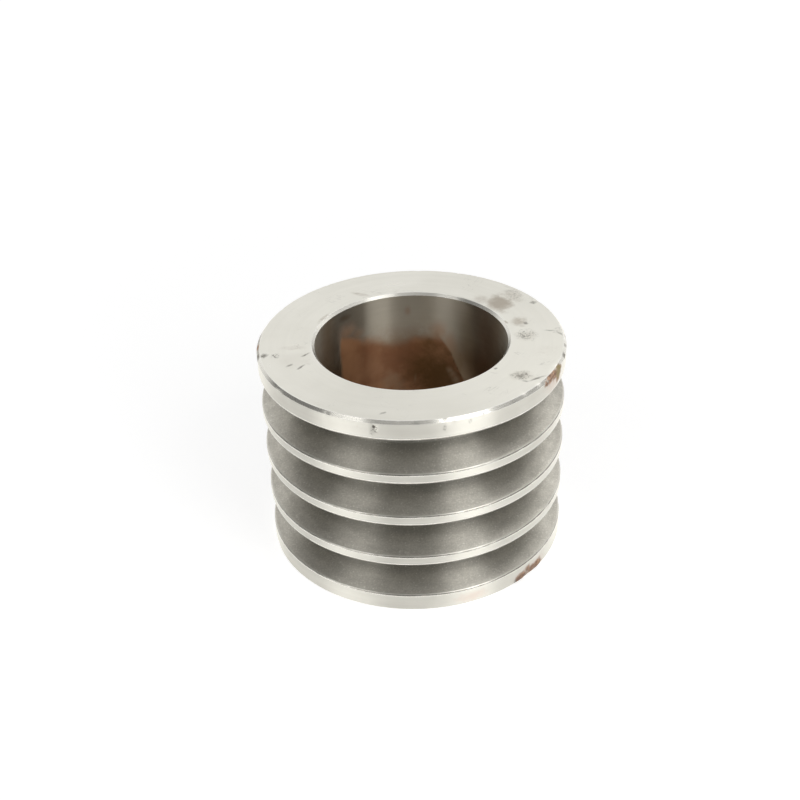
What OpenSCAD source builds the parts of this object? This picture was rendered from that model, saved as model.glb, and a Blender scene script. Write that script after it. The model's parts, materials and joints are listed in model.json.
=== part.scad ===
// Tensioner pulley for a set of V-belts, turned from one piece of steel.
// Z is the axis of rotation. The pulley stands on its lower end face, which lies on Z = 0.

/* [Body] */
// Outside diameter over the ribs and the end flanges
outer_d = 121; // [114:1:180]
// Diameter of the through bore that takes the bearings
bore_d = 76; // [40:1:82]
// Thickness of an end flange at the rim, from its face to the mouth of the first groove
end_flange_t = 7.25; // [3:0.25:20]
// Chamfer on the outer edge of an end face
face_chamfer = 1; // [0.2:0.1:2]
// Chamfer at each end of the bore
bore_chamfer = 1; // [0.2:0.1:3]

/* [Belt grooves] */
// Number of belt grooves
groove_count = 4; // [1:1:8]
// Distance between the centres of neighbouring grooves
groove_pitch = 19; // [16:0.5:30]
// Included angle between the two walls of a groove, in degrees
groove_angle = 34; // [30:1:40]
// Depth of a groove below the outside diameter
groove_depth = 14.5; // [8:0.5:17]
// Width of the cylindrical land left on a rib between two grooves
land_w = 3; // [1.5:0.1:5]
// Chamfer that breaks each edge at the mouth of a groove
mouth_chamfer = 0.9; // [0.2:0.1:1.5]
// Fillet radius where a groove wall runs into the groove floor
root_r = 1.2; // [0.3:0.1:2]

/* [Hidden] */

outer_r = outer_d / 2;
bore_r = bore_d / 2;

// The mouth is the opening at the outside diameter, and the throat the opening below its chamfers
mouth_w = groove_pitch - land_w;
throat_w = mouth_w - 2 * mouth_chamfer;
throat_r = outer_r - mouth_chamfer;
floor_r = outer_r - groove_depth;
wall_lean = groove_angle / 2;

body_w = 2 * end_flange_t + (groove_count - 1) * groove_pitch + mouth_w;
first_groove_z = end_flange_t + mouth_w / 2;

// Centre of the fillet that touches both the groove floor and the upper groove wall
fillet_x = floor_r + root_r;
fillet_y = throat_w / 2 + ((fillet_x - throat_r) * sin(wall_lean) - root_r) / cos(wall_lean);
fillet_steps = 6;

// How far a groove's cutting outline runs past the outside diameter
cut_past = 1;

steel = [0.76, 0.75, 0.72];
turn_steps = 180;

function height_of_groove(index) = first_groove_z + index * groove_pitch;

function arc(centre, radius, from, to) =
    [for (step = [0:fillet_steps])
        let (angle = from + (to - from) * step / fillet_steps)
        centre + radius * [cos(angle), sin(angle)]];

// Half section of the plain ring before its grooves are cut: X is the radius, Y the height
module blank_section() {
    polygon([
        [bore_r + bore_chamfer, 0],
        [outer_r - face_chamfer, 0],
        [outer_r, face_chamfer],
        [outer_r, body_w - face_chamfer],
        [outer_r - face_chamfer, body_w],
        [bore_r + bore_chamfer, body_w],
        [bore_r, body_w - bore_chamfer],
        [bore_r, bore_chamfer]
    ]);
}

// Section of one V-groove, centred on Y = 0, with 45 degree edge breaks and a filleted flat floor
module groove_section() {
    polygon(concat(
        [[outer_r + cut_past, mouth_w / 2 + cut_past], [throat_r, throat_w / 2]],
        arc([fillet_x, fillet_y], root_r, 90 + wall_lean, 180),
        arc([fillet_x, -fillet_y], root_r, 180, 270 - wall_lean),
        [[throat_r, -throat_w / 2], [outer_r + cut_past, -mouth_w / 2 - cut_past]]
    ));
}

// The whole pulley is one turned solid
module pulley() {
    color(steel)
    rotate_extrude($fn = turn_steps)
    difference() {
        blank_section();
        for (index = [0:groove_count - 1])
            translate([0, height_of_groove(index)]) groove_section();
    }
}

pulley();
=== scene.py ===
import json
import math

import bpy
import numpy as np
from mathutils import Matrix, Vector

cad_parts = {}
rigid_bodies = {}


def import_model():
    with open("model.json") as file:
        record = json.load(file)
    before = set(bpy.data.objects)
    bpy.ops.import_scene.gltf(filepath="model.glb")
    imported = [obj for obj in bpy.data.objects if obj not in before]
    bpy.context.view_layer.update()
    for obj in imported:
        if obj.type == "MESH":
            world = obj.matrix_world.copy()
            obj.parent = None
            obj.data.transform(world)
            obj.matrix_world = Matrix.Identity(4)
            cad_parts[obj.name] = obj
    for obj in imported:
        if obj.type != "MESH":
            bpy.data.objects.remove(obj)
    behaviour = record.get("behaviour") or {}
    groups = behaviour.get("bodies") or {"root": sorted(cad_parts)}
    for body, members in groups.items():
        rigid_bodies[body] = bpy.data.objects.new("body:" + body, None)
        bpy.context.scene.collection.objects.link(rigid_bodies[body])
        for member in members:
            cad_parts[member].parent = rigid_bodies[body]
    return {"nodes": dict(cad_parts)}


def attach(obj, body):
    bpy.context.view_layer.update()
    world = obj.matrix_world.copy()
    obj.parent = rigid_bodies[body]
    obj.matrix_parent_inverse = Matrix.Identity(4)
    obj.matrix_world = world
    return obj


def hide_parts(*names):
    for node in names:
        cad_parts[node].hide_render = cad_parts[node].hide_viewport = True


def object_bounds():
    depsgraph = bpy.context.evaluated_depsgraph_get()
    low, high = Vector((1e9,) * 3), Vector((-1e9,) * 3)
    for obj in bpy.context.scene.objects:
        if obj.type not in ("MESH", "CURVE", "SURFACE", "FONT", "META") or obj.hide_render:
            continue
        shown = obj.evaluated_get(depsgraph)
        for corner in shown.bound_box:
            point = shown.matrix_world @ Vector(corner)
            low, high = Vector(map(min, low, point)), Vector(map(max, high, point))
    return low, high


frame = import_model()
cadBox = [[float(v) for v in corner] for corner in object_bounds()]  # the CAD model's own box
mm = 0.001
print("frame loaded:", sorted(frame["nodes"]))


def put(tree, kind, sockets=None, **settings):
    # one node: settings are its options, sockets its inputs by name or number, as values or as links
    node = tree.nodes.new(kind)
    for name, value in settings.items():
        setattr(node, name, value)
    for key, value in (sockets or {}).items():
        if isinstance(value, bpy.types.NodeSocket):
            tree.links.new(value, node.inputs[key])
        else:
            node.inputs[key].default_value = value
    return node


def calc(tree, operation, a, b=0.0, c=0.0, clamp=False):
    # one sum of up to three values
    return put(tree, "ShaderNodeMath", {0: a, 1: b, 2: c}, operation=operation, use_clamp=clamp).outputs[0]


def vecCalc(tree, operation, a, b=(0, 0, 0)):
    # one sum of vectors: returns a vector, or a value where a length is asked
    node = put(tree, "ShaderNodeVectorMath", {0: a, 1: b}, operation=operation)
    return node.outputs["Value" if operation == "LENGTH" else "Vector"]


def fade(tree, value, low, high, outLow=0.0, outHigh=1.0):
    # smooth step of value from low to high, carried to the two out values
    return put(tree, "ShaderNodeMapRange", {0: value, 1: low, 2: high, 3: outLow, 4: outHigh},
               interpolation_type="SMOOTHSTEP").outputs[0]


def noise(tree, vector, scale, detail=2.0, rough=0.5, warp=0.0):
    # noise about 0.5, with scale lumps to a unit of the vector
    return put(tree, "ShaderNodeTexNoise", {"Vector": vector, "Scale": scale, "Detail": detail,
                                            "Roughness": rough, "Distortion": warp}).outputs[0]


def mixed(tree, share, a, b):
    # value a to value b by the share
    return put(tree, "ShaderNodeMix", {0: share, 2: a, 3: b}, data_type="FLOAT").outputs[0]


def blend(tree, share, a, b):
    # colour a to colour b by the share
    node = put(tree, "ShaderNodeMix", data_type="RGBA")
    for index, value in ((0, share), (6, a), (7, b)):
        if isinstance(value, bpy.types.NodeSocket):
            tree.links.new(value, node.inputs[index])
        else:
            node.inputs[index].default_value = value if index == 0 else (*value, 1.0)
    return node.outputs[2]


def newGroup(name, ins, outs):
    # an empty node group with named sockets: returns its tree, its inputs to read and its outputs to feed
    tree = bpy.data.node_groups.new(name, "ShaderNodeTree")
    kinds = {"value": "NodeSocketFloat", "vector": "NodeSocketVector", "color": "NodeSocketColor"}
    for label, kind, start in ins:
        socket = tree.interface.new_socket(label, in_out="INPUT", socket_type=kinds[kind])
        if start is not None:
            socket.default_value = start
    for label, kind in outs:
        tree.interface.new_socket(label, in_out="OUTPUT", socket_type=kinds[kind])
    return tree, tree.nodes.new("NodeGroupInput").outputs, tree.nodes.new("NodeGroupOutput").inputs


def place(tree, group, sockets):
    # one copy of a node group in a material, with its own values: returns its outputs
    return put(tree, "ShaderNodeGroup", sockets, node_tree=group).outputs


def weigh(tree, first, second, shares):
    # two values, each times its share, added up
    weighed = [calc(tree, "MULTIPLY", value, share) for value, share in zip((first, second), shares)]
    return calc(tree, "ADD", *weighed)


sharedPatterns = {  # noise levels, paces and shares inside the shared finishes
    "coarseGrain": 0.11, "grainShares": (0.6, 0.4), "glintFrom": (0.62, 0.73), "wearFrom": (0.35, 0.62),
    "linePace": 1.3, "lineFrom": (0.055, 0.01), "tearReach": 4.0, "spotLimit": (1.5, 1.2),
    "fineRust": 7.0, "rustShares": (0.88, 0.12), "rustShadeFrom": (0.35, 0.68),
    "scratchStretch": (1.0, 9.0, 9.0), "patchPerMetre": 95.0, "patchFrom": (0.58, 0.68),
}


def makeLatheMarks():
    # tool marks: noise that is drawn out round the axis and packed close along the outline, fine for a
    # height and wide for a tone
    tree, a, b = newGroup("latheMarks", [("Path", "vector", None), ("Per Metre", "value", 3000.0),
                                         ("Bands Per Metre", "value", 420.0), ("Waver", "value", 1.5)],
                          [("Height", "value"), ("Tone", "value")])
    part = put(tree, "ShaderNodeSeparateXYZ", {0: a["Path"]}).outputs
    east = calc(tree, "MULTIPLY", part[0], a["Waver"])
    north = calc(tree, "MULTIPLY", part[1], a["Waver"])
    for pace, detail, result in (("Per Metre", 3.0, "Height"), ("Bands Per Metre", 4.0, "Tone")):
        along = calc(tree, "MULTIPLY", part[2], a[pace])
        drawn = put(tree, "ShaderNodeCombineXYZ", {0: east, 1: north, 2: along}).outputs[0]
        tree.links.new(noise(tree, drawn, 1.0, detail, 0.6), b[result])
    return tree


def makeGrain(v):
    # speckle: fine and coarse noise together as a tone, the fine one as a height, its peaks as glints
    tree, a, b = newGroup("steelGrain", [("Place", "vector", None), ("Per Metre", "value", 1500.0)],
                          [("Tone", "value"), ("Height", "value"), ("Glint", "value")])
    small = noise(tree, a["Place"], a["Per Metre"], 2.0, 0.7)
    large = noise(tree, a["Place"], calc(tree, "MULTIPLY", a["Per Metre"], v["coarseGrain"]), 3.0, 0.6)
    tree.links.new(weigh(tree, small, large, v["grainShares"]), b["Tone"])
    tree.links.new(small, b["Height"])
    tree.links.new(fade(tree, small, *v["glintFrom"]), b["Glint"])
    return tree


def makeEdgeWear(v):
    # rubbed edges: 1 on a corner of the outline, falling to 0 over the reach, broken up by noise
    tree, a, b = newGroup("edgeWear", [("Edge Gap", "value", 1.0), ("Place", "vector", None),
                                       ("Reach", "value", 0.5), ("Per Metre", "value", 260.0)],
                          [("Mask", "value")])
    near = calc(tree, "SUBTRACT", 1.0, calc(tree, "DIVIDE", a["Edge Gap"], a["Reach"]), clamp=True)
    broken = fade(tree, noise(tree, a["Place"], a["Per Metre"], 3.0, 0.6), *v["wearFrom"])
    tree.links.new(calc(tree, "MULTIPLY", near, broken), b["Mask"])
    return tree


def makeMarkNoise(v):
    # what the marks of one surface share: the noise that tears their edges, and thin wandering lines along
    # the middle level of a finer noise
    tree, a, b = newGroup("markNoise", [("Place", "vector", None), ("Per Metre", "value", 300.0)],
                          [("Tear", "value"), ("Lines", "value")])
    tree.links.new(noise(tree, a["Place"], a["Per Metre"], 4.0, 0.65), b["Tear"])
    level = noise(tree, a["Place"], calc(tree, "MULTIPLY", a["Per Metre"], v["linePace"]), 2.0, 0.5, 0.7)
    gap = calc(tree, "ABSOLUTE", calc(tree, "SUBTRACT", level, 0.5))
    tree.links.new(fade(tree, gap, *v["lineFrom"]), b["Lines"])
    return tree


def makeStainSpot(v):
    # one mark: 1 inside an ellipsoid turned about the axis, its edge torn by noise; Wire is the share of it
    # that shows only along the thin lines
    tree, a, b = newGroup("stainSpot", [
        ("Place", "vector", None), ("Tear Noise", "value", 0.5), ("Lines", "value", 1.0),
        ("Centre", "vector", None), ("Reach", "vector", None), ("Turn", "value", 0.0),
        ("Edge", "value", 0.4), ("Tear", "value", 0.5), ("Wire", "value", 0.0),
        ("Strength", "value", 1.0)], [("Mask", "value")])
    gap = vecCalc(tree, "SUBTRACT", a["Place"], a["Centre"])
    back = calc(tree, "MULTIPLY", a["Turn"], -1.0)
    turned = put(tree, "ShaderNodeVectorRotate", {"Vector": gap, "Angle": back},
                 rotation_type="Z_AXIS").outputs[0]
    away = vecCalc(tree, "LENGTH", vecCalc(tree, "DIVIDE", turned, a["Reach"]))
    torn = calc(tree, "MULTIPLY", a["Tear"], v["tearReach"])
    shift = calc(tree, "MULTIPLY", calc(tree, "SUBTRACT", a["Tear Noise"], 0.5), torn)
    inside = fade(tree, calc(tree, "ADD", away, shift), 1.0, calc(tree, "SUBTRACT", 1.0, a["Edge"]))
    inside = calc(tree, "MULTIPLY", inside, fade(tree, away, *v["spotLimit"]))
    bare = calc(tree, "MULTIPLY", a["Wire"], calc(tree, "SUBTRACT", 1.0, a["Lines"]))
    shown = calc(tree, "MULTIPLY", inside, calc(tree, "SUBTRACT", 1.0, bare))
    tree.links.new(calc(tree, "MULTIPLY", shown, a["Strength"]), b["Mask"])
    return tree


def makeRust(v):
    # rust: the cover is torn by coarse noise, which with a little fine noise runs the colour from dark to
    # light
    tree, a, b = newGroup("rustFilm", [
        ("Place", "vector", None), ("Cover", "value", 0.0), ("Tear", "value", 1.6), ("Soft", "value", 0.12),
        ("Per Metre", "value", 120.0), ("Dark", "color", (0.05, 0.022, 0.009, 1)),
        ("Light", "color", (0.25, 0.10, 0.035, 1))],
        [("Mask", "value"), ("Color", "color"), ("Height", "value")])
    coarse = noise(tree, a["Place"], a["Per Metre"], 3.0, 0.55)
    fine = noise(tree, a["Place"], calc(tree, "MULTIPLY", a["Per Metre"], v["fineRust"]), 3.0, 0.6)
    torn = calc(tree, "MULTIPLY", calc(tree, "SUBTRACT", coarse, 0.5), a["Tear"])
    low = calc(tree, "SUBTRACT", 0.5, a["Soft"])
    high = calc(tree, "ADD", 0.5, a["Soft"])
    tree.links.new(fade(tree, calc(tree, "ADD", a["Cover"], torn), low, high), b["Mask"])
    shade = fade(tree, weigh(tree, coarse, fine, v["rustShares"]), *v["rustShadeFrom"])
    tree.links.new(blend(tree, shade, a["Dark"], a["Light"]), b["Color"])
    tree.links.new(fine, b["Height"])
    return tree


def makeScratches(v):
    # hairline scratches: thin level lines of noise stretched along one direction, kept in scattered patches
    tree, a, b = newGroup("hairScratches", [("Place", "vector", None), ("Turn", "value", 0.0),
                                            ("Per Metre", "value", 55.0), ("Thin", "value", 0.012)],
                          [("Mask", "value")])
    turned = put(tree, "ShaderNodeVectorRotate", {"Vector": a["Place"], "Angle": a["Turn"]},
                 rotation_type="Z_AXIS").outputs[0]
    drawn = vecCalc(tree, "MULTIPLY", turned, v["scratchStretch"])
    level = noise(tree, drawn, a["Per Metre"], 2.0, 0.5, 0.6)
    line = fade(tree, calc(tree, "ABSOLUTE", calc(tree, "SUBTRACT", level, 0.5)), a["Thin"], 0.0)
    patch = fade(tree, noise(tree, a["Place"], v["patchPerMetre"], 2.0, 0.5), *v["patchFrom"])
    tree.links.new(calc(tree, "MULTIPLY", line, patch), b["Mask"])
    return tree


latheMarks = makeLatheMarks()
steelGrain = makeGrain(sharedPatterns)
edgeWear = makeEdgeWear(sharedPatterns)
markNoise = makeMarkNoise(sharedPatterns)
stainSpot = makeStainSpot(sharedPatterns)
rustFilm = makeRust(sharedPatterns)
hairScratches = makeScratches(sharedPatterns)
print("shared finishes ready:", len(bpy.data.node_groups), "groups")


acrossMarks = 0.25  # a quarter turn, so that the gloss spreads across the tool marks


def newSteel(name, fixed):
    # a bare metal material: the shader's constant sockets, and the three coordinates that its patterns read
    material = bpy.data.materials.new(name)
    material.use_nodes = True
    tree = material.node_tree
    tree.nodes.clear()
    shader = put(tree, "ShaderNodeBsdfPrincipled", fixed)
    put(tree, "ShaderNodeOutputMaterial", {"Surface": shader.outputs[0]})
    alongTurn = put(tree, "ShaderNodeTangent", direction_type="UV_MAP", uv_map="turnMap")
    tree.links.new(alongTurn.outputs[0], shader.inputs["Tangent"])
    spot = put(tree, "ShaderNodeTexCoord").outputs["Object"]
    path = put(tree, "ShaderNodeAttribute", attribute_name="turnPath").outputs["Vector"]
    gap = put(tree, "ShaderNodeAttribute", attribute_name="edgeGap").outputs["Fac"]
    return material, tree, shader, spot, path, gap


def markFields(tree, spot, perMetre, wander):
    # for one surface's marks: the place, moved about by noise up to half the wander, and the shared noise
    drift = put(tree, "ShaderNodeTexNoise", {"Vector": spot, "Scale": perMetre, "Detail": 2.0}).outputs[1]
    drift = vecCalc(tree, "SUBTRACT", drift, (0.5, 0.5, 0.5))
    moved = vecCalc(tree, "ADD", spot, vecCalc(tree, "MULTIPLY", drift, [v * mm for v in wander]))
    shared = place(tree, markNoise, {"Place": spot, "Per Metre": perMetre})
    return {"Place": moved, "Tear": shared["Tear"], "Lines": shared["Lines"]}


def strongest(tree, masks):
    # the largest of several masks
    total = masks[0]
    for mask in masks[1:]:
        total = calc(tree, "MAXIMUM", total, mask)
    return total


markDepth = {"face": 4, "wall": 6}  # millimetres that a mark reaches into the metal


def oneMark(tree, fields, centre, reach, turn, edge, tear, wire, strength):
    # centre and reach in millimetres, turn in radians about the axis
    return place(tree, stainSpot, {
        "Place": fields["Place"], "Tear Noise": fields["Tear"], "Lines": fields["Lines"],
        "Centre": [v * mm for v in centre], "Reach": [v * mm for v in reach], "Turn": turn,
        "Edge": edge, "Tear": tear, "Wire": wire, "Strength": strength})["Mask"]


def faceMarks(tree, fields, rows, height, edge, tear):
    # marks on a flat face, each row x, y, half length, half width, turn in degrees, wire and strength
    masks = []
    for x, y, long, wide, turn, wire, strength in rows:
        centre = (x, y, height)
        reach = (long, wide, markDepth["face"])
        masks.append(oneMark(tree, fields, centre, reach, math.radians(turn), edge, tear, wire, strength))
    return strongest(tree, masks)


def strokes(tree, fields, rows, height, edge, tear):
    # scratches on a flat face, each row x and y of both ends, half width and strength
    return faceMarks(tree, fields, [
        ((x0 + x1) / 2, (y0 + y1) / 2, math.hypot(x1 - x0, y1 - y0) / 2 + half, half,
         math.degrees(math.atan2(y1 - y0, x1 - x0)), 0.0, strength)
        for x0, y0, x1, y1, half, strength in rows], height, edge, tear)


def wallMarks(tree, fields, rows, radius, edge, tear):
    # marks on a round wall, each row angle in degrees, height, half length round, half height, wire and
    # strength
    masks = []
    for angle, height, around, up, wire, strength in rows:
        t = math.radians(angle)
        centre = (radius * math.cos(t), radius * math.sin(t), height)
        reach = (markDepth["wall"], around, up)
        masks.append(oneMark(tree, fields, centre, reach, t, edge, tear, wire, strength))
    return strongest(tree, masks)


def rustCoat(tree, spot, cover, v):
    # rust over the cover, in the colours and with the tear of one finish
    return place(tree, rustFilm, {
        "Place": spot, "Cover": cover, "Per Metre": v["rustPerMetre"], "Tear": v["rustTear"],
        "Soft": v["rustSoft"], "Dark": (*v["rustDark"], 1), "Light": (*v["rustLight"], 1)})


def relief(tree, shader, height, depth):
    # a height in 0 to 1 as a bump of the given depth in metres
    bump = put(tree, "ShaderNodeBump", {"Height": height, "Distance": depth, "Strength": 1.0})
    tree.links.new(bump.outputs[0], shader.inputs["Normal"])


facedSteel = {  # the two end faces, faced flat; marks are in millimetres on the top face
    "bright": (0.752, 0.735, 0.668), "dull": (0.70, 0.684, 0.617), "rubbed": (0.84, 0.83, 0.79),
    "roughness": (0.35, 0.26), "anisotropy": 0.35, "marksPerMetre": 3400.0, "waver": 1.2,
    "reliefDepth": 0.003,
    "cloud": (34.0, 3.0, 0.55), "toneShares": (0.35, 0.65), "toneFrom": (0.3, 0.7), "roughFrom": (0.2, 0.8),
    "wear": {"Reach": 0.7, "Per Metre": 240.0}, "wearShare": 0.5,
    "hairlines": [
        {"Turn": 0.6, "Per Metre": 60.0, "Thin": 0.010},
        {"Turn": -0.9, "Per Metre": 48.0, "Thin": 0.008},
    ],
    "hairlineShare": 0.3, "hairlineDepth": 0.8,
    "smudgeNoise": (260.0, (2, 2, 0)), "smudgeEdge": (0.75, 0.26), "grimeNoise": (420.0, (1.6, 1.6, 0)),
    "grimeEdge": (0.7, 0.3), "strokeEdge": (0.9, 0.25), "markRough": 0.25,
    "smudgeColor": (0.40, 0.355, 0.295), "grimeColor": (0.13, 0.12, 0.10), "markHeight": 87.5,
    "smudges": [
        (36.8, 26.4, 7.2, 9.4, 0, 0.0, 0.88),
        (30.4, 29.8, 6.0, 5.4, 0, 0.3, 0.42),
        (43.0, 32.4, 5.6, 8.0, 0, 0.4, 0.45),
        (43.4, 9.8, 4.2, 4.8, 0, 0.15, 0.72),
        (45.0, -1.4, 5.6, 5.4, 0, 0.0, 0.26),
        (39.8, -32.0, 5.4, 4.4, 0, 0.0, 0.34),
        (-46.0, -4.4, 6.5, 2.4, 5, 0.5, 0.34),
        (-45.0, -14.0, 9.0, 7.5, 0, 0.0, 0.12),
        (-20.4, 39.2, 5.5, 1.8, 155, 0.5, 0.60),
        (-34.7, 19.6, 6.0, 1.4, 60, 0.5, 0.60),
        (37.8, 10.2, 2.4, 0.8, 110, 0.0, 0.75),
        (51.0, -14.0, 7.0, 5.0, 30, 0.6, 0.16),
    ],
    "grime": [
        (45.2, -1.2, 5.6, 5.8, 0, 0.95, 0.64),
        (45.9, 8.2, 1.1, 1.5, 0, 0.0, 0.65),
        (43.6, 33.0, 4.4, 6.2, 0, 1.0, 0.34),
        (50.8, 25.7, 2.0, 1.5, 20, 0.3, 0.75),
        (39.9, -31.8, 5.2, 4.0, 0, 0.85, 0.85),
        (39.7, -32.2, 2.2, 1.8, 30, 0.2, 0.70),
        (-56.9, -9.9, 2.0, 2.4, 0, 0.4, 0.88),
        (-52.6, -10.3, 2.4, 2.4, 0, 0.9, 0.78),
        (57.6, 1.0, 2.8, 3.6, 0, 0.9, 0.38),
        (30.8, -26.0, 0.9, 0.9, 0, 0.0, 0.6),
    ],
    "strokes": [
        (-42.6, -11.5, -39.2, -8.8, 0.75, 0.75),
        (-47.9, -18.7, -45.5, -16.6, 0.7, 0.6),
        (-43.9, -21.6, -41.0, -17.4, 0.7, 0.7),
        (39.6, -35.4, 42.8, -36.0, 0.85, 0.6),
        (42.3, -35.9, 48.2, -32.7, 1.0, 0.8),
        (52.2, 2.2, 57.2, 1.3, 0.7, 0.5),
        (56.8, 1.5, 59.6, -3.4, 0.7, 0.5),
        (-12.6, -54.4, -10.4, -52.9, 0.7, 0.5),
    ],
}


def makeFacedSteel(v):
    # tone of tool marks and clouds; smudges, hairlines, grime and rubbed edges lie over it by their masks
    material, tree, shader, spot, path, gap = newSteel("facedSteel", {
        "Metallic": 1.0, "Anisotropic": v["anisotropy"], "Anisotropic Rotation": acrossMarks})
    marks = place(tree, latheMarks, {"Path": path, "Per Metre": v["marksPerMetre"], "Waver": v["waver"]})
    wear = place(tree, edgeWear, {"Edge Gap": gap, "Place": spot, **v["wear"]})["Mask"]
    scratched = [place(tree, hairScratches, {"Place": spot, **row})["Mask"] for row in v["hairlines"]]
    lines = strongest(tree, scratched)
    tone = weigh(tree, marks["Tone"], noise(tree, spot, *v["cloud"]), v["toneShares"])
    color = blend(tree, fade(tree, tone, *v["toneFrom"]), v["dull"], v["bright"])
    soft = markFields(tree, spot, *v["smudgeNoise"])
    fine = markFields(tree, spot, *v["grimeNoise"])
    film = faceMarks(tree, soft, v["smudges"], v["markHeight"], *v["smudgeEdge"])
    specks = faceMarks(tree, fine, v["grime"], v["markHeight"], *v["grimeEdge"])
    scores = strokes(tree, fine, v["strokes"], v["markHeight"], *v["strokeEdge"])
    grime = strongest(tree, [specks, scores])
    color = blend(tree, film, color, v["smudgeColor"])
    color = blend(tree, calc(tree, "MULTIPLY", lines, v["hairlineShare"]), color, v["grimeColor"])
    color = blend(tree, grime, color, v["grimeColor"])
    color = blend(tree, calc(tree, "MULTIPLY", wear, v["wearShare"]), color, v["rubbed"])
    tree.links.new(color, shader.inputs["Base Color"])
    rough = fade(tree, tone, *v["roughFrom"], *v["roughness"])
    marked = calc(tree, "MAXIMUM", film, grime)
    rough = calc(tree, "ADD", rough, calc(tree, "MULTIPLY", marked, v["markRough"]))
    tree.links.new(rough, shader.inputs["Roughness"])
    height = calc(tree, "SUBTRACT", marks["Height"], calc(tree, "MULTIPLY", lines, v["hairlineDepth"]))
    relief(tree, shader, height, v["reliefDepth"] * mm)
    return material


rimSteel = {  # flange rims and rib lands; marks are degrees round and millimetres up
    "bright": (0.81, 0.788, 0.714), "dull": (0.755, 0.734, 0.66), "rubbed": (0.84, 0.83, 0.79),
    "roughness": (0.48, 0.42), "anisotropy": 1.0, "marksPerMetre": 4200.0, "waver": 1.0,
    "reliefDepth": 0.004, "cloud": (60.0, 3.0, 0.6), "toneShares": (0.5, 0.5), "toneFrom": (0.28, 0.72),
    "roughFrom": (0.2, 0.8), "wear": {"Reach": 0.45, "Per Metre": 300.0}, "wearShare": 0.35,
    "markRadius": 60.3, "markRough": 0.35, "markNoise": (340.0, (1.2, 1.2, 1.2)),
    "tintEdge": (0.9, 0.3), "stainEdge": (0.7, 0.3), "rustEdge": (0.8, 0.2),
    "stainColor": (0.12, 0.105, 0.085), "tintColor": (0.70, 0.55, 0.47),
    "shadeLineShare": 0.0, "rustTear": 0.9, "rustSoft": 0.40, "rustShare": 0.88, "rustDull": 0.75,
    "rustDark": (0.19, 0.085, 0.045), "rustLight": (0.62, 0.37, 0.22), "rustPerMetre": 700.0,
    "rust": [
        (-25.6, 85.4, 4.6, 3.8, 0.0, 1.0),
        (-26.6, 83.4, 2.8, 2.8, 0.0, 1.0),
        (-29.4, 86.0, 4.2, 3.0, 0.0, 1.0),
        (-32.8, 86.4, 4.8, 2.7, 0.0, 1.0),
        (-36.2, 85.8, 2.4, 2.2, 0.0, 1.0),
        (-38.6, 2.4, 4.4, 3.6, 0.0, 0.95),
        (-42.0, 2.4, 4.6, 3.2, 0.0, 0.85),
        (-44.6, 4.2, 3.0, 2.8, 0.0, 0.75),
        (-47.6, 2.2, 4.8, 3.6, 0.0, 0.85),
        (-50.0, 1.8, 2.4, 2.8, 0.0, 0.95),
        (-178.0, 86.4, 4.0, 2.4, 0.0, 0.8),
    ],
    "oliveColor": (0.33, 0.25, 0.085), "olive": [(-25.4, 85.2, 4.6, 4.4, 0.0, 0.95)],
    "tint": [
        (-71.0, 3.6, 9.5, 3.6, 0.0, 0.45),
        (-42.0, 3.0, 13.0, 4.0, 0.0, 0.5),
        (-29.0, 84.4, 11.0, 6.0, 0.0, 0.5),
    ],
    "stain": [
        (-171.0, 86.6, 4.2, 1.7, 0.3, 0.75),
        (-180.0, 87.1, 15.0, 1.5, 0.2, 0.55),
        (-104.3, 85.0, 0.8, 1.1, 0.0, 0.85),
        (-104.1, 83.6, 2.2, 3.2, 0.9, 0.55),
        (-9.5, 87.0, 1.7, 1.3, 0.2, 0.60),
        (-16.4, 86.6, 2.2, 1.6, 0.2, 0.85),
        (44.0, 87.2, 6.0, 1.0, 0.4, 0.30),
        (-51.2, 1.2, 1.6, 2.0, 0.3, 0.70),
        (-24.4, 87.0, 2.6, 1.1, 0.3, 0.55),
        (-35.4, 85.6, 1.2, 1.4, 0.4, 0.50),
        (-80.5, 84.0, 1.0, 1.6, 0.7, 0.35),
        (-71.5, 85.0, 1.2, 1.2, 0.7, 0.35),
    ],
}
chamferSteel = dict(rimSteel)  # the edge breaks, cut at an angle and a little duller
chamferSteel.update({
    "bright": (0.74, 0.722, 0.66), "dull": (0.66, 0.644, 0.585),
    "roughness": (0.30, 0.22), "anisotropy": 0.85,
})
lipSteel = dict(chamferSteel)  # the rounded groove mouths: a broken dark line of painted shade by the land, dull by the wall
lipSteel.update({
    # painted shade: the colour, rise, fall and breaks of a dark line across the lip by the land
    "anisotropy": 0.7, "shadeLineShare": 0.62, "shadeLineLeast": 0.25, "shadeLineColor": (0.17, 0.155, 0.125),
    "shadeLineRise": (0.05, 0.30), "shadeLineFall": (0.95, 0.60),
    "shadeLineNoise": (190.0, 4.0, 0.65), "shadeLineBreak": (0.34, 0.60),
    "wallFrom": (0.55, 1.2), "wallShare": 0.75, "wallColor": (0.43, 0.412, 0.366), "wallRough": 0.18,
})


def lipColor(tree, spot, gap, color, v):
    # by the distance from the land's edge: over to the wall's colour, with a broken dark line of painted
    # shade before it
    # painted shade: a thin dark band across the lip, broken by noise
    line = calc(tree, "MULTIPLY", fade(tree, gap, *v["shadeLineRise"]), fade(tree, gap, *v["shadeLineFall"]))
    broken = fade(tree, noise(tree, spot, *v["shadeLineNoise"]), *v["shadeLineBreak"], v["shadeLineLeast"], v["shadeLineShare"])
    color = blend(tree, fade(tree, gap, *v["wallFrom"], 0.0, v["wallShare"]), color, v["wallColor"])
    return blend(tree, calc(tree, "MULTIPLY", line, broken), color, v["shadeLineColor"])


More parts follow.
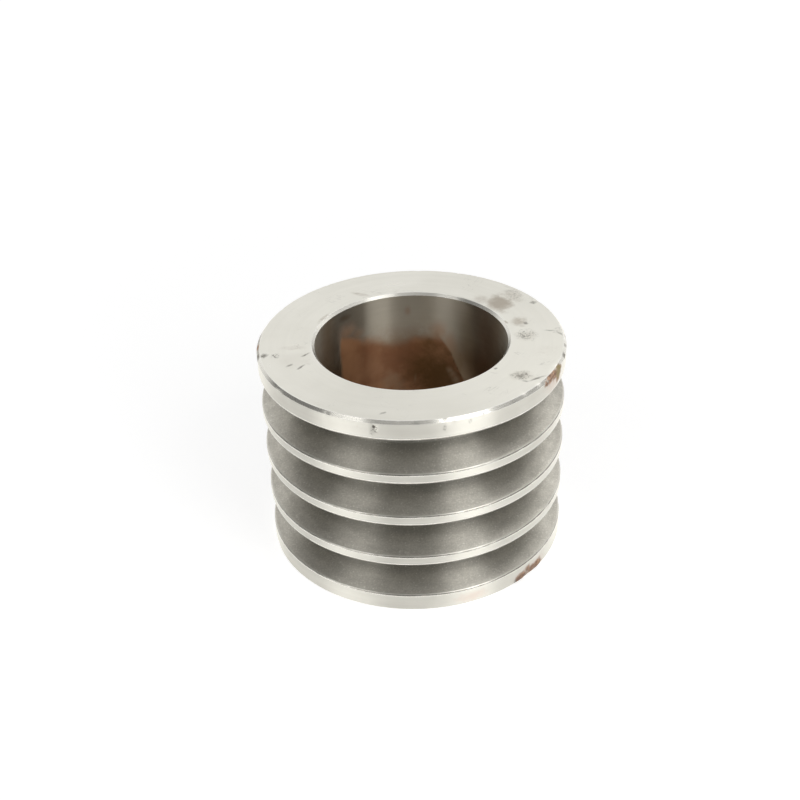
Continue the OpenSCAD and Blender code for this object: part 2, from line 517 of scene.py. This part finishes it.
def makeRimSteel(name, v):
    # tone of tool marks and clouds; tint, rubbed edges, stain and rust lie over it by their masks, and rust
    # is rougher and less of a metal
    material, tree, shader, spot, path, gap = newSteel(name, {
        "Anisotropic": v["anisotropy"], "Anisotropic Rotation": acrossMarks})
    marks = place(tree, latheMarks, {"Path": path, "Per Metre": v["marksPerMetre"], "Waver": v["waver"]})
    wear = place(tree, edgeWear, {"Edge Gap": gap, "Place": spot, **v["wear"]})["Mask"]
    tone = weigh(tree, marks["Tone"], noise(tree, spot, *v["cloud"]), v["toneShares"])
    color = blend(tree, fade(tree, tone, *v["toneFrom"]), v["dull"], v["bright"])
    fields = markFields(tree, spot, *v["markNoise"])
    tint = wallMarks(tree, fields, v["tint"], v["markRadius"], *v["tintEdge"])
    color = blend(tree, tint, color, v["tintColor"])
    color = blend(tree, calc(tree, "MULTIPLY", wear, v["wearShare"]), color, v["rubbed"])
    # on the lips only: painted shade as a dark line by the land, then the wall's colour
    if v["shadeLineShare"]:
        color = lipColor(tree, spot, gap, color, v)
    stain = wallMarks(tree, fields, v["stain"], v["markRadius"], *v["stainEdge"])
    color = blend(tree, stain, color, v["stainColor"])
    rust = rustCoat(tree, spot, wallMarks(tree, fields, v["rust"], v["markRadius"], *v["rustEdge"]), v)
    olive = wallMarks(tree, fields, v["olive"], v["markRadius"], *v["rustEdge"])
    crust = blend(tree, olive, rust["Color"], v["oliveColor"])
    color = blend(tree, calc(tree, "MULTIPLY", rust["Mask"], v["rustShare"]), color, crust)
    tree.links.new(color, shader.inputs["Base Color"])
    lost = calc(tree, "MULTIPLY", rust["Mask"], v["rustDull"])
    tree.links.new(calc(tree, "SUBTRACT", 1.0, lost), shader.inputs["Metallic"])
    rough = fade(tree, tone, *v["roughFrom"], *v["roughness"])
    marked = calc(tree, "MAXIMUM", stain, rust["Mask"])
    rough = calc(tree, "ADD", rough, calc(tree, "MULTIPLY", marked, v["markRough"]))
    if v["shadeLineShare"]:
        rough = calc(tree, "ADD", rough, fade(tree, gap, *v["wallFrom"], 0.0, v["wallRough"]))
    tree.links.new(rough, shader.inputs["Roughness"])
    height = calc(tree, "ADD", marks["Height"], calc(tree, "MULTIPLY", rust["Height"], rust["Mask"]))
    relief(tree, shader, height, v["reliefDepth"] * mm)
    return material


grooveSteel = {  # the walls and floors of the belt grooves, left with a coarse matt grain
    "bright": (0.655, 0.63, 0.564), "dull": (0.46, 0.441, 0.392), "rubbed": (0.70, 0.69, 0.64),
    "roughness": (0.50, 0.42), "anisotropy": 1.0, "marksPerMetre": 2600.0, "waver": 3.0, "reliefDepth": 0.02,
    "grainPerMetre": 1400.0, "toneShares": (0.75, 0.25), "toneFrom": (0.3, 0.7), "roughFrom": (0.25, 0.75),
    "heightShares": (0.75, 0.25), "wear": {"Reach": 0.6, "Per Metre": 300.0}, "wearShare": 0.5,
    "glint": (0.80, 0.79, 0.74), "glintShare": 0.75,
    # painted shade: the walls darken to a dark grey from the first radius in to the second, towards the
    # groove floor
    "rootShadeColor": (0.20, 0.19, 0.168), "rootShadeShare": 0.45, "rootShadeFrom": (53.5, 46.5),
}


def makeGrooveSteel(v):
    # tone of grain and tool marks, with painted shade darker towards the floor, bright on the glints and the
    # rubbed edges
    material, tree, shader, spot, path, gap = newSteel("grooveSteel", {
        "Metallic": 1.0, "Anisotropic": v["anisotropy"], "Anisotropic Rotation": acrossMarks})
    marks = place(tree, latheMarks, {"Path": path, "Per Metre": v["marksPerMetre"], "Waver": v["waver"]})
    grain = place(tree, steelGrain, {"Place": spot, "Per Metre": v["grainPerMetre"]})
    wear = place(tree, edgeWear, {"Edge Gap": gap, "Place": spot, **v["wear"]})["Mask"]
    tone = weigh(tree, grain["Tone"], marks["Tone"], v["toneShares"])
    color = blend(tree, fade(tree, tone, *v["toneFrom"]), v["dull"], v["bright"])
    # painted shade: the colour goes over to a dark grey towards the floor of the groove, where little light
    # reaches
    radius = vecCalc(tree, "LENGTH", vecCalc(tree, "MULTIPLY", spot, (1, 1, 0)))
    deep = fade(tree, radius, *[r * mm for r in v["rootShadeFrom"]], 0.0, v["rootShadeShare"])
    color = blend(tree, deep, color, v["rootShadeColor"])
    color = blend(tree, calc(tree, "MULTIPLY", grain["Glint"], v["glintShare"]), color, v["glint"])
    color = blend(tree, calc(tree, "MULTIPLY", wear, v["wearShare"]), color, v["rubbed"])
    tree.links.new(color, shader.inputs["Base Color"])
    tree.links.new(fade(tree, tone, *v["roughFrom"], *v["roughness"]), shader.inputs["Roughness"])
    height = weigh(tree, grain["Height"], marks["Height"], v["heightShares"])
    relief(tree, shader, height, v["reliefDepth"] * mm)
    return material


boreSteel = {  # the bore, brown with oil at its sides, rusted low on its far wall; degrees and millimetres
    "bright": (0.48, 0.445, 0.372), "dull": (0.41, 0.376, 0.308), "roughness": (0.38, 0.32),
    "anisotropy": 1.0, "specular": 0.25, "marksPerMetre": 3000.0, "waver": 1.2, "reliefDepth": 0.003,
    "cloud": (45.0, 3.0, 0.6), "toneShares": (0.4, 0.6), "toneFrom": (0.28, 0.72), "roughFrom": (0.2, 0.8),
    "markRadius": 38.0, "markNoise": (90.0, (3, 3, 3)), "oilEdge": (0.9, 0.2), "tintEdge": (0.95, 0.05),
    "filmEdge": (0.95, 0.1), "wornEdge": (0.95, 0.45), "crustEdge": (0.9, 0.3),
    "rustTear": 0.9, "rustSoft": 0.46, "rustDull": 0.7, "rustRough": 0.12,
    "oilColor": (0.215, 0.140, 0.074), "crustColor": (0.112, 0.049, 0.006),
    "rustDark": (0.25, 0.105, 0.044), "rustLight": (0.41, 0.21, 0.105), "rustPerMetre": 60.0,
    "oil": [
        (26.0, 60.0, 17.0, 70.0, 0.0, 0.58),
        (152.0, 66.0, 11.0, 70.0, 0.0, 0.62),
        (57.0, 54.0, 10.0, 19.0, 0.0, 0.85),
        (135.0, 83.0, 5.5, 2.4, 0.0, 0.55),
        (146.0, 74.5, 2.2, 12.0, 0.0, 0.50),
    ],
    "lowOil": 0.78, "lowOilFrom": (74.0, 58.0),
    "tintColor": (0.36, 0.22, 0.14),
    "tint": [
        (90.5, 79.5, 2.6, 3.6, 0.0, 0.45),
        (71.0, 70.5, 6.5, 6.5, 0.0, 0.60),
        (63.5, 65.0, 5.0, 10.0, 0.0, 0.50),
    ],
    "haze": 0.55, "hazeReach": (15.0, -3.0), "hazeFrom": (0.35, 0.65), "hazeColor": (0.24, 0.15, 0.09),
    "rustSides": (68.4, 141.0), "rustTop": 67.0, "rustSlope": 0.095, "rustMiddle": 100.0, "rustLean": 0.80,
    "rustWave": 3.0, "rustCrest": 68.2, "rustCycle": 71.5,
    "topFade": (5, -4), "rightFade": (-2, 2), "leftFade": (3, -4),  # how the rust's borders run out
    "crust": [
        (72.0, 49.0, 26.0, 23.0, 0.0, 1.0),
        (62.6, 60.0, 1.2, 3.4, 0.0, 0.9),
        (60.4, 56.6, 1.2, 3.2, 0.0, 0.9),
        (57.8, 53.2, 1.4, 3.0, 0.0, 0.9),
        (55.8, 50.6, 1.4, 2.6, 0.0, 0.9),
    ],
    "bloom": [(131.0, 60.0, 9.0, 14.0, 0.0, 0.8), (114.0, 56.0, 8.0, 10.0, 0.0, 0.6),
              (132.0, 76.0, 12.0, 10.0, 0.0, 0.9)],
    "film": [(134.0, 76.0, 9.0, 7.5, 0.0, 0.52), (126.0, 73.0, 7.0, 6.0, 0.0, 0.40)],
    "worn": [
        (104.0, 46.0, 6.0, 7.0, 0.0, 0.42),
        (99.5, 42.0, 5.5, 6.0, 0.0, 0.42),
        (87.0, 46.2, 1.2, 3.4, 0.0, 0.40),
        (63.4, 51.4, 2.8, 3.4, 0.0, 0.60),
        (61.6, 49.6, 3.0, 3.4, 0.0, 0.60),
        (59.8, 47.8, 2.8, 3.2, 0.0, 0.60),
    ],
}


def rustedWall(tree, spot, v):
    # cover of the rust: between two angles, the right one leaning, and below a line that rises evenly round
    # the bore and waves as a cosine of the angle
    x, y, z = put(tree, "ShaderNodeSeparateXYZ", {0: spot}).outputs
    angle = calc(tree, "MULTIPLY", calc(tree, "ARCTAN2", y, x), math.degrees(1))
    past = calc(tree, "SUBTRACT", angle, v["rustCrest"])
    phase = calc(tree, "MULTIPLY", past, 2 * math.pi / v["rustCycle"])
    line = calc(tree, "MULTIPLY_ADD", calc(tree, "COSINE", phase), v["rustWave"] * mm, v["rustTop"] * mm)
    aside = calc(tree, "SUBTRACT", angle, v["rustMiddle"])
    line = calc(tree, "MULTIPLY_ADD", aside, v["rustSlope"] * mm, line)
    over = calc(tree, "SUBTRACT", z, line)
    below = fade(tree, over, *[d * mm for d in v["topFade"]])
    near = fade(tree, over, *[d * mm for d in v["hazeReach"]], 0.0, v["haze"])
    first, last = v["rustSides"]
    under = calc(tree, "SUBTRACT", v["rustTop"] * mm, z)
    leant = calc(tree, "MULTIPLY_ADD", under, v["rustLean"] / mm, angle)
    right = fade(tree, leant, *[first + d for d in v["rightFade"]])
    left = fade(tree, angle, *[last + d for d in v["leftFade"]])
    between = calc(tree, "MULTIPLY", right, left)
    return calc(tree, "MULTIPLY", below, between), calc(tree, "MULTIPLY", near, between)


def makeBoreSteel(v):
    # tone of tool marks and clouds; oil, tint, haze and rust lie over it by their masks, the rust itself
    # from film through bloom to dark crust, thin where it is worn
    material, tree, shader, spot, path, _ = newSteel("boreSteel", {
        "Anisotropic": v["anisotropy"], "Anisotropic Rotation": acrossMarks,
        "Specular IOR Level": v["specular"]})
    marks = place(tree, latheMarks, {"Path": path, "Per Metre": v["marksPerMetre"], "Waver": v["waver"]})
    tone = weigh(tree, marks["Tone"], noise(tree, spot, *v["cloud"]), v["toneShares"])
    color = blend(tree, fade(tree, tone, *v["toneFrom"]), v["dull"], v["bright"])
    fields = markFields(tree, spot, *v["markNoise"])
    oil = wallMarks(tree, fields, v["oil"], v["markRadius"], *v["oilEdge"])
    depth = put(tree, "ShaderNodeSeparateXYZ", {0: fields["Place"]}).outputs[2]
    lowOil = fade(tree, depth, *[z * mm for z in v["lowOilFrom"]], 0.0, v["lowOil"])
    color = blend(tree, calc(tree, "MAXIMUM", oil, lowOil), color, v["oilColor"])
    tint = wallMarks(tree, fields, v["tint"], v["markRadius"], *v["tintEdge"])
    color = blend(tree, tint, color, v["tintColor"])
    below, near = rustedWall(tree, fields["Place"], v)
    haze = calc(tree, "MULTIPLY", near, fade(tree, fields["Tear"], *v["hazeFrom"]))
    color = blend(tree, haze, color, v["hazeColor"])
    film = wallMarks(tree, fields, v["film"], v["markRadius"], *v["filmEdge"])
    rust = rustCoat(tree, spot, calc(tree, "MAXIMUM", below, film), v)
    worn = wallMarks(tree, fields, v["worn"], v["markRadius"], *v["wornEdge"])
    kept = calc(tree, "MULTIPLY", rust["Mask"], calc(tree, "SUBTRACT", 1.0, worn))
    crust = wallMarks(tree, fields, v["crust"], v["markRadius"], *v["crustEdge"])
    bloom = wallMarks(tree, fields, v["bloom"], v["markRadius"], *v["crustEdge"])
    rustColor = blend(tree, bloom, rust["Color"], v["rustLight"])
    rustColor = blend(tree, crust, rustColor, v["crustColor"])
    color = blend(tree, kept, color, rustColor)
    tree.links.new(color, shader.inputs["Base Color"])
    lost = calc(tree, "MULTIPLY", kept, v["rustDull"])
    tree.links.new(calc(tree, "SUBTRACT", 1.0, lost), shader.inputs["Metallic"])
    rough = fade(tree, tone, *v["roughFrom"], *v["roughness"])
    rough = calc(tree, "ADD", rough, calc(tree, "MULTIPLY", kept, v["rustRough"]))
    tree.links.new(rough, shader.inputs["Roughness"])
    relief(tree, shader, marks["Height"], v["reliefDepth"] * mm)
    return material


pulleySizes = {  # millimetres and degrees, the same as in the part's source
    "outerRadius": 60.5, "boreRadius": 38.0, "endFlange": 7.25, "faceChamfer": 1.0, "boreChamfer": 1.0,
    "grooves": 4, "pitch": 19.0, "angle": 34.0, "depth": 14.5, "land": 3.0, "mouthChamfer": 0.9,
    "rootRadius": 1.2, "mouthRound": 1.05, "stepsRound": 600, "rootSteps": 4, "mouthSteps": 6,
}
edgeNicks = {  # small dents on the sharp edges, in millimetres
    "seed": 11, "count": 260, "depth": (0.03, 0.17), "halfWidth": (0.35, 1.4), "halfReach": (0.25, 0.6),
    "clearOfBore": 5,
    "placed": [  # angle, radius, height, depth, half width round, half reach along the outline
        (-104.1, 60.5, 84.7, 0.42, 0.75, 1.1),
        (-171.0, 60.0, 87.0, 0.35, 2.4, 0.7),
        (-146.0, 60.0, 87.0, 0.22, 3.0, 0.6),
        (-30.0, 60.0, 87.0, 0.25, 2.2, 0.7),
        (26.5, 60.0, 87.0, 0.30, 1.8, 0.7),
        (-3.0, 60.0, 87.0, 0.22, 1.6, 0.6),
        (-44.0, 60.5, 1.0, 0.25, 2.0, 0.7),
    ],
}
zoneNumber = {"face": 0, "rim": 1, "groove": 2, "bore": 3, "chamfer": 4, "lip": 5}


def pulleyOutline(size):
    # half section walked once round with the metal on the left: up the outside, in over the top face, down
    # the bore, out under the bottom face. Each run is radius, height, zone, cuts as shares of its length,
    # and its start: sharp, rubbed (a rounded edge) or smooth. The mouth edges are arcs that touch the land
    # and the wall
    lean = math.radians(size["angle"] / 2)
    outer, bore = size["outerRadius"], size["boreRadius"]
    mouth = (size["pitch"] - size["land"]) / 2
    throat = mouth - size["mouthChamfer"]
    throatR = outer - size["mouthChamfer"]
    floorR = outer - size["depth"]
    root = size["rootRadius"]
    rootR = floorR + root
    rootZ = throat + ((rootR - throatR) * math.sin(lean) - root) / math.cos(lean)
    width = 2 * size["endFlange"] + (size["grooves"] - 1) * size["pitch"] + 2 * mouth
    bend = size["mouthRound"]
    bendR = outer - bend
    bendZ = throat + size["mouthChamfer"] * math.tan(lean) + bend * math.tan(math.pi / 4 - lean / 2)
    nearEnds = np.array([0, 0.03, 0.1, 0.3, 0.7, 0.9, 0.97])
    inward = np.array([0, 0.06, 0.3, 0.65])
    outward = np.array([0, 0.35, 0.7, 0.94])
    arc = np.linspace(1.5 * math.pi - lean, math.pi, size["rootSteps"])
    lip = np.linspace(0, math.pi / 2 - lean, size["mouthSteps"])
    even = {n: np.arange(n) / n for n in (1, 2, 4, 6)}

    def lipPoint(t, mid, side):  # on a mouth's arc, side -1 below the groove's middle and 1 above it
        return bendR + bend * math.cos(t), mid + side * (bendZ - bend * math.sin(t))

    def rootPoint(t, mid, side):  # on a floor's fillet, with the same sides
        return rootR + root * math.cos(t), mid + side * (rootZ - root * math.sin(t))

    runs = [(outer - size["faceChamfer"], 0.0, "chamfer", even[2], "sharp"),
            (outer, size["faceChamfer"], "rim", even[6], "sharp")]
    for k in range(size["grooves"]):
        mid = size["endFlange"] + mouth + k * size["pitch"]
        land = even[4] if k < size["grooves"] - 1 else even[6]
        runs += [(*lipPoint(t, mid, -1), "lip", even[1], "smooth" if t else "rubbed") for t in lip[:-1]]
        runs += [(*lipPoint(lip[-1], mid, -1), "groove", inward, "smooth")]
        runs += [(*rootPoint(t, mid, -1), "groove", even[1], "smooth") for t in arc[:-1]]
        runs += [(floorR, mid - rootZ, "groove", even[2], "smooth")]
        runs += [(*rootPoint(t, mid, 1), "groove", even[1], "smooth") for t in arc[:0:-1]]
        runs += [(*rootPoint(arc[0], mid, 1), "groove", outward, "smooth")]
        runs += [(*lipPoint(t, mid, 1), "lip", even[1], "smooth") for t in lip[:0:-1]]
        runs += [(outer, mid + bendZ, "rim", land, "rubbed")]
    runs += [(outer, width - size["faceChamfer"], "chamfer", even[2], "sharp"),
             (outer - size["faceChamfer"], width, "face", nearEnds, "sharp"),
             (bore + size["boreChamfer"], width, "chamfer", even[2], "sharp"),
             (bore, width - size["boreChamfer"], "bore", nearEnds, "sharp"),
             (bore, size["boreChamfer"], "chamfer", even[2], "sharp"),
             (bore + size["boreChamfer"], 0.0, "face", nearEnds, "sharp")]
    return runs


def pulleySkin(size, nicks):
    # surface of revolution: each outline point (r, z) goes to (r cos t, r sin t, z) at even angles t. A dent
    # moves points in along their normal by depth times exp(-(arc/half width)^2 - (along/half reach)^2)
    runs = pulleyOutline(size)
    r, z, zone, sharp, edge = [], [], [], [], []
    for (r0, z0, name, cuts, start), (r1, z1, *_) in zip(runs, runs[1:] + runs[:1]):
        r.append(r0 + (r1 - r0) * cuts)
        z.append(z0 + (z1 - z0) * cuts)
        zone.append(np.full(len(cuts), zoneNumber[name]))
        sharp.append((cuts == 0) & (start == "sharp"))
        edge.append((cuts == 0) & (start != "smooth"))
    r, z, zone, sharp, edge = (np.concatenate(part) for part in (r, z, zone, sharp, edge))
    points, steps = len(r), size["stepsRound"]
    dr, dz = np.roll(r, -1) - r, np.roll(z, -1) - z
    length = np.concatenate([[0], np.cumsum(np.hypot(dr, dz))])
    total = length[-1]
    runR, runZ = dz / np.hypot(dr, dz), -dr / np.hypot(dr, dz)  # normal of the run after each point
    normR, normZ = runR + np.roll(runR, 1), runZ + np.roll(runZ, 1)
    reach = np.hypot(normR, normZ)
    normR, normZ = normR / reach, normZ / reach
    apart = np.abs(length[:-1, None] - length[:-1][edge][None, :])
    edgeGap = np.minimum(apart, total - apart).min(axis=1)
    angle = np.arange(steps) / steps * 2 * math.pi

    draw = np.random.default_rng(nicks["seed"])
    corners = np.flatnonzero(edge & (r > size["boreRadius"] + nicks["clearOfBore"]))
    rows = [(math.radians(at), int(np.argmin(np.hypot(r - out, z - up))), deep, wide, long)
            for at, out, up, deep, wide, long in nicks["placed"]]
    for _ in range(nicks["count"]):
        rows.append((draw.uniform(0, 2 * math.pi), int(draw.choice(corners)), draw.uniform(*nicks["depth"]),
                     draw.uniform(*nicks["halfWidth"]), draw.uniform(*nicks["halfReach"])))
    push = np.zeros((steps, points))
    for a, at, depth, halfWidth, halfReach in rows:
        arc = ((angle - a + math.pi) % (2 * math.pi) - math.pi) * r[at]
        along = np.abs(length[:-1] - length[at])
        along = np.minimum(along, total - along)
        across = np.exp(-(arc / halfWidth) ** 2)
        push += depth * across[:, None] * np.exp(-(along / halfReach) ** 2)[None, :]

    ringR = r[None, :] - push * normR[None, :]
    ringZ = z[None, :] - push * normZ[None, :]
    co = np.stack([ringR * np.cos(angle)[:, None], ringR * np.sin(angle)[:, None], ringZ], axis=-1) * mm
    i, j = np.meshgrid(np.arange(steps), np.arange(points), indexing="ij")
    iNext, jNext = (i + 1) % steps, (j + 1) % points
    here, beyond = i * points, iNext * points
    faces = np.stack([here + j, beyond + j, beyond + jNext, here + jNext], axis=-1)
    turn = np.stack([i, i + 1, i + 1, i], axis=-1) / steps
    along = np.stack([length[j], length[j], length[j + 1], length[j + 1]], axis=-1)
    path = np.stack([np.cos(turn * 2 * math.pi), np.sin(turn * 2 * math.pi), along * mm], axis=-1)

    mesh = bpy.data.meshes.new("pulleyBody")
    count = steps * points
    mesh.vertices.add(count)
    mesh.vertices.foreach_set("co", co.astype(np.float32).ravel())
    mesh.loops.add(count * 4)
    mesh.loops.foreach_set("vertex_index", faces.astype(np.int32).ravel())
    mesh.polygons.add(count)
    mesh.polygons.foreach_set("loop_start", np.arange(count, dtype=np.int32) * 4)
    mesh.polygons.foreach_set("material_index", np.tile(zone, steps).astype(np.int32))
    mesh.update(calc_edges=True)
    mesh.polygons.foreach_set("use_smooth", np.ones(count, dtype=bool))
    ends = np.empty(len(mesh.edges) * 2, dtype=np.int32)
    mesh.edges.foreach_get("vertices", ends)
    first, second = (ends % points).reshape(-1, 2).T
    hard = mesh.attributes.new("sharp_edge", "BOOLEAN", "EDGE")
    hard.data.foreach_set("value", (first == second) & sharp[first])
    mapped = mesh.uv_layers.new(name="turnMap")
    mapped.data.foreach_set("uv", np.stack([turn, along / total], axis=-1).astype(np.float32).ravel())
    drawn = mesh.attributes.new("turnPath", "FLOAT_VECTOR", "CORNER")
    drawn.data.foreach_set("vector", path.astype(np.float32).ravel())
    spread = mesh.attributes.new("edgeGap", "FLOAT", "POINT")
    spread.data.foreach_set("value", np.tile(edgeGap, steps).astype(np.float32))
    return mesh


pulleyBody = bpy.data.objects.new("pulleyBody", pulleySkin(pulleySizes, edgeNicks))
bpy.context.scene.collection.objects.link(pulleyBody)
finishes = (  # in the order of the zone numbers
    makeFacedSteel(facedSteel), makeRimSteel("rimSteel", rimSteel), makeGrooveSteel(grooveSteel),
    makeBoreSteel(boreSteel), makeRimSteel("chamferSteel", chamferSteel), makeRimSteel("lipSteel", lipSteel),
)
for finish in finishes:
    pulleyBody.data.materials.append(finish)
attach(pulleyBody, "root")
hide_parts("pulley")
print("pulley body:", len(pulleyBody.data.polygons), "faces")


studio = {  # floor, world and softboxes; angles are seen from the part, 0 towards the camera, right positive
    "floorHalf": 3.0, "floorDrop": 0.0001, "floorColor": (0.55, 0.55, 0.55),
    "floorShine": 1.02, "shineDepth": 2.5,  # its light in mirrored rays, up to this many bounces
    "floorLift": (0.67, 0.80), "liftFrom": (0.15, 0.9),
    "worldLight": 0.45, "frontRoom": (0.18, 0.41), "roomSides": (-0.7, 0.7), "backdropFrom": (0.36, 0.66),
    "overhead": (0.14, 1.4), "overheadSides": (-0.40, 0.52), "overheadFrom": (0.68, 0.88),
    "frontCeiling": 0.72, "ceilingFrom": (-0.35, 0.05),
    "sideGlow": [(-0.22, -0.40, 0.7), (0.21, 0.40, 2.0)],  # x where it starts and is full, strength
    "glowBehind": (0.8, 1.1), "glowHeight": (0.38, 0.58), "aimHeight": 0.045,
    "softboxes": [  # name, azimuth, elevation, tilt, distance, width, height, watts
        ("softboxRight", 39.5, 36, 0, 0.80, 0.39, 0.62, 2.0),
        ("softboxLeft", -49, 16, -46, 0.80, 0.34, 0.62, 1.16),
        ("softboxHigh", -57, 49, 0, 0.80, 0.30, 0.17, 0.27),
    ],
}


def makeFloor(v):
    # a flat grid of four corners, pale and lit, with a lift towards white that grows with the distance from
    # the part, for what looks at it directly; it can be looked through from below
    h, z = v["floorHalf"], -v["floorDrop"]
    mesh = bpy.data.meshes.new("studioFloor")
    mesh.from_pydata([(-h, -h, z), (h, -h, z), (h, h, z), (-h, h, z)], [], [(0, 1, 2, 3)])
    floor = bpy.data.objects.new("studioFloor", mesh)
    bpy.context.scene.collection.objects.link(floor)
    material = bpy.data.materials.new("paleFloor")
    material.use_nodes = True
    tree = material.node_tree
    tree.nodes.clear()
    matt = put(tree, "ShaderNodeBsdfDiffuse", {"Color": (*v["floorColor"], 1)})
    ray = put(tree, "ShaderNodeLightPath").outputs
    mirrored = calc(tree, "ADD", ray["Is Glossy Ray"], ray["Is Transmission Ray"], clamp=True)
    mirrored = calc(tree, "MULTIPLY", mirrored, calc(tree, "LESS_THAN", ray["Ray Depth"], v["shineDepth"]))
    away = vecCalc(tree, "LENGTH", put(tree, "ShaderNodeTexCoord").outputs["Object"])
    raised = fade(tree, away, *v["liftFrom"], *v["floorLift"])
    strength = calc(tree, "ADD", calc(tree, "MULTIPLY", ray["Is Camera Ray"], raised),
                    calc(tree, "MULTIPLY", mirrored, v["floorShine"]))
    lift = put(tree, "ShaderNodeEmission", {"Strength": strength})
    both = put(tree, "ShaderNodeAddShader", {0: matt.outputs[0], 1: lift.outputs[0]})
    below = put(tree, "ShaderNodeNewGeometry").outputs["Backfacing"]
    clear = put(tree, "ShaderNodeBsdfTransparent")
    seen = put(tree, "ShaderNodeMixShader", {0: below, 1: both.outputs[0], 2: clear.outputs[0]})
    put(tree, "ShaderNodeOutputMaterial", {"Surface": seen.outputs[0]})
    mesh.materials.append(material)


def makeWorld(v):
    # white to the camera, and even as light. To mirrored rays a white backdrop behind, a dim room in front
    # and a ceiling overhead, the last two darker at the left, and a glow high behind at each side, where y
    # plus z is large
    world = bpy.data.worlds.new("studioWorld")
    world.use_nodes = True
    tree = world.node_tree
    tree.nodes.clear()
    ray = put(tree, "ShaderNodeLightPath").outputs
    mirrored = calc(tree, "ADD", ray["Is Glossy Ray"], ray["Is Transmission Ray"], clamp=True)
    way = put(tree, "ShaderNodeTexCoord").outputs["Generated"]
    toward = put(tree, "ShaderNodeSeparateXYZ", {0: way}).outputs
    front = fade(tree, toward[0], *v["roomSides"], *v["frontRoom"])
    above = fade(tree, toward[0], *v["overheadSides"], *v["overhead"])
    above = fade(tree, toward[1], *v["ceilingFrom"], v["frontCeiling"], above)
    room = fade(tree, toward[1], *v["backdropFrom"], front, 1.0)
    room = fade(tree, toward[2], *v["overheadFrom"], room, above)
    glows = [fade(tree, toward[0], start, full, 0.0, shine) for start, full, shine in v["sideGlow"]]
    glow = calc(tree, "ADD", *glows)
    behind = calc(tree, "ADD", toward[1], toward[2])
    glow = calc(tree, "MULTIPLY", glow, fade(tree, behind, *v["glowBehind"]))
    room = calc(tree, "MULTIPLY_ADD", glow, fade(tree, toward[2], *v["glowHeight"]), room)
    lit = mixed(tree, mirrored, v["worldLight"], room)
    level = mixed(tree, ray["Is Camera Ray"], lit, 1.0)
    sky = put(tree, "ShaderNodeBackground", {"Color": (1, 1, 1, 1), "Strength": level})
    put(tree, "ShaderNodeOutputWorld", {"Surface": sky.outputs[0]})
    bpy.context.scene.world = world


def makeSoftbox(aimHeight, name, azimuth, elevation, tilt, distance, width, height, watts):
    # a lamp at a distance from the aim point along its two angles, facing it, turned by the tilt
    a, e = math.radians(azimuth), math.radians(elevation)
    aim = Vector((0, 0, aimHeight))
    way = Vector((math.cos(e) * math.sin(a), -math.cos(e) * math.cos(a), math.sin(e)))
    light = bpy.data.lights.new(name, "AREA")
    light.shape = "RECTANGLE"
    light.size, light.size_y, light.energy = width, height, watts
    box = bpy.data.objects.new(name, light)
    box.location = aim + way * distance
    facing = way.to_track_quat("Z", "Y").to_matrix() @ Matrix.Rotation(math.radians(tilt), 3, "Z")
    box.rotation_euler = facing.to_euler()
    bpy.context.scene.collection.objects.link(box)


makeFloor(studio)
makeWorld(studio)
for row in studio["softboxes"]:
    makeSoftbox(studio["aimHeight"], *row)
print("studio set:", len(studio["softboxes"]), "softboxes")


view = {  # camera fitted to the photograph: degrees, millimetres; offsets are from the top face's centre
    "elevation": 32.176, "roll": 2.2294, "lens": 53.685, "sensor": 36.0,
    "left": 5.2617, "below": 24.2178, "away": 467.622, "clipStart": 10.0,
}


def makeCamera(v):
    # axes from the elevation, rolled about the line of sight; place from the offsets along them
    e, roll = math.radians(v["elevation"]), math.radians(v["roll"])
    look = Vector((0, math.cos(e), -math.sin(e)))
    up = Vector((0, math.sin(e), math.cos(e)))
    right = Vector((1, 0, 0))
    top = Vector((0, 0, cadBox[1][2]))
    spot = top - (right * v["left"] + up * v["below"] + look * v["away"]) * mm
    camRight = right * math.cos(roll) - up * math.sin(roll)
    camUp = right * math.sin(roll) + up * math.cos(roll)
    lens = bpy.data.cameras.new("photoCamera")
    lens.lens, lens.sensor_width, lens.clip_start = v["lens"], v["sensor"], v["clipStart"] * mm
    camera = bpy.data.objects.new("photoCamera", lens)
    axes = Matrix((camRight, camUp, -look)).transposed().to_4x4()
    camera.matrix_world = Matrix.Translation(spot) @ axes
    bpy.context.scene.collection.objects.link(camera)
    bpy.context.scene.camera = camera


makeCamera(view)
bpy.context.scene.view_settings.view_transform = "Standard"
print("camera set")

bpy.context.view_layer.update()
